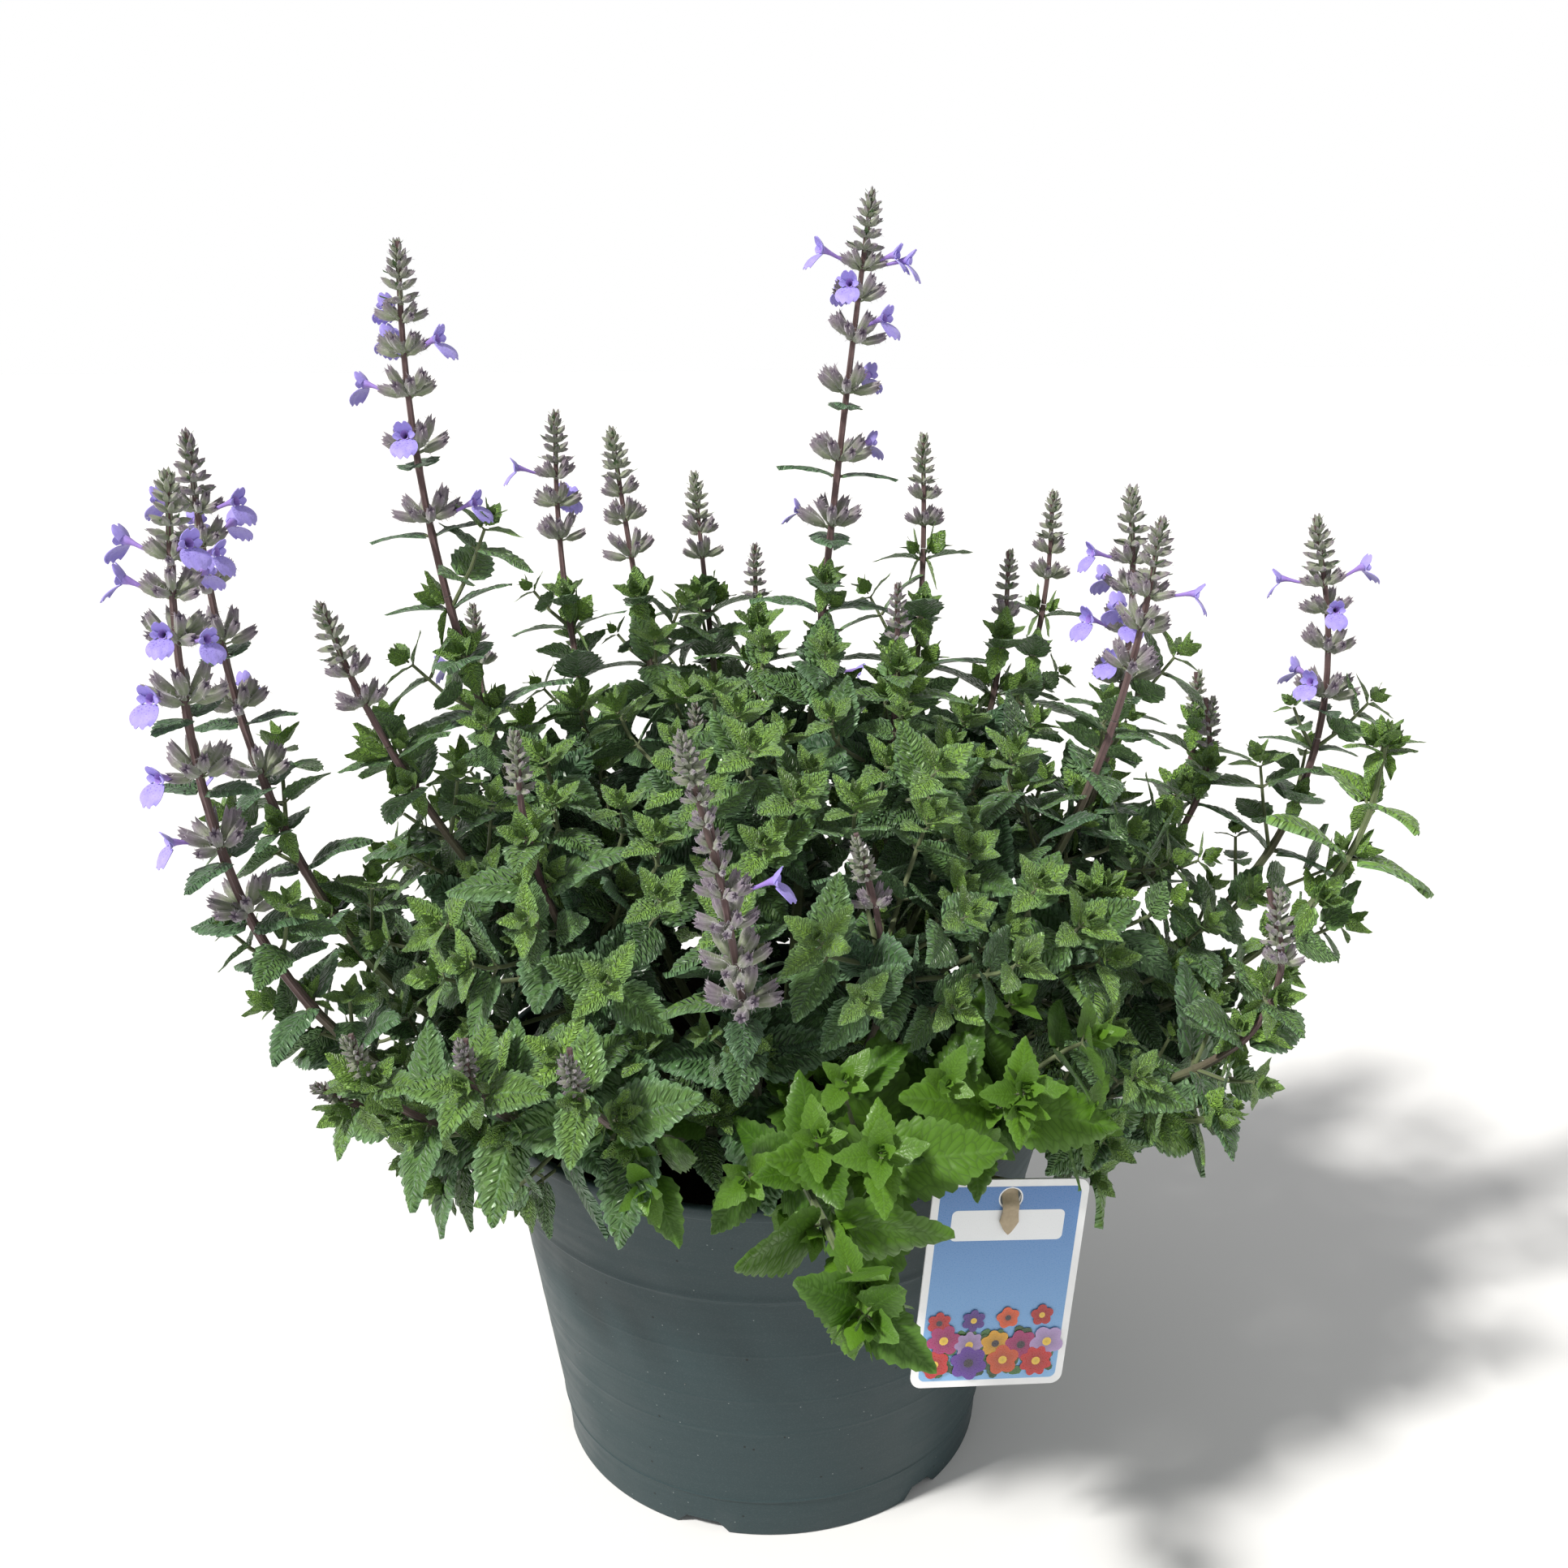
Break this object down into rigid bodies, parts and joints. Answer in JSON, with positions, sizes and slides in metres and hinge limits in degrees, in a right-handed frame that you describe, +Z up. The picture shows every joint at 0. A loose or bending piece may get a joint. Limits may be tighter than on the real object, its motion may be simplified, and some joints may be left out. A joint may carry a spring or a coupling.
{
  "type": "catmint plant in a pot",
  "caption": "Bushy catmint perennial in a round tapered nursery pot: toothed grey-green leaves on square stems, lavender flower spikes, and a hanging plant label.",
  "frame": {"origin": "centre of the pot's foot, on the ground", "axes": "+Z up along the pot's axis; the side with the label is -Y, +X is to the right seen from there"},
  "size_m": [0.4661, 0.3796, 0.492],
  "materials": {
    "pot": "satin",
    "soil": "matte",
    "leaf": "matte",
    "young_leaf": "satin",
    "spike": "matte",
    "label_card": "satin",
    "label_strap": "satin"
  },
  "bodies": {
    "root": {"label_card": "label_card", "label_strap": "label_strap", "pot": "pot", "soil": "soil", "spike_back_centre": "spike", "spike_back_centre_left": "spike", "spike_back_left_inner": "spike", "spike_back_right": "spike", "spike_back_right_inner": "spike", "spike_front_left_spike": "spike", "spike_front_right_spike": "spike", "spike_front_spike": "spike", "spike_left_front": "spike", "spike_left_inner": "spike", "spike_left_outer": "spike", "spike_left_tall": "spike", "spike_right_low_spike": "spike", "spike_right_outer": "spike", "spike_right_tall": "spike", "spike_right_tall_front": "spike", "spike_tall": "spike", "spray_back_centre": "leaf", "spray_back_centre_left": "leaf", "spray_back_left": "leaf", "spray_back_left_inner": "leaf", "spray_back_right": "leaf", "spray_back_right_inner": "leaf", "spray_centre": "leaf", "spray_centre_back": "leaf", "spray_centre_right": "leaf", "spray_front_bright": "young_leaf", "spray_front_bud": "leaf", "spray_front_hanging": "young_leaf", "spray_front_left_bud": "leaf", "spray_front_left_spike": "leaf", "spray_front_right_spike": "leaf", "spray_front_spike": "leaf", "spray_label_side": "young_leaf", "spray_left_front": "leaf", "spray_left_inner": "leaf", "spray_left_low_bud": "leaf", "spray_left_outer": "leaf", "spray_left_rim_bud": "leaf", "spray_left_tall": "leaf", "spray_rear": "leaf", "spray_rear_left": "leaf", "spray_rear_low": "leaf", "spray_rear_right": "leaf", "spray_right_back": "leaf", "spray_right_front": "leaf", "spray_right_inner": "leaf", "spray_right_leafy": "leaf", "spray_right_low_spike": "leaf", "spray_right_middle": "leaf", "spray_right_outer": "leaf", "spray_right_rim": "leaf", "spray_right_tall": "leaf", "spray_right_tall_front": "leaf", "spray_tall": "leaf"}
  },
  "joints": []
}
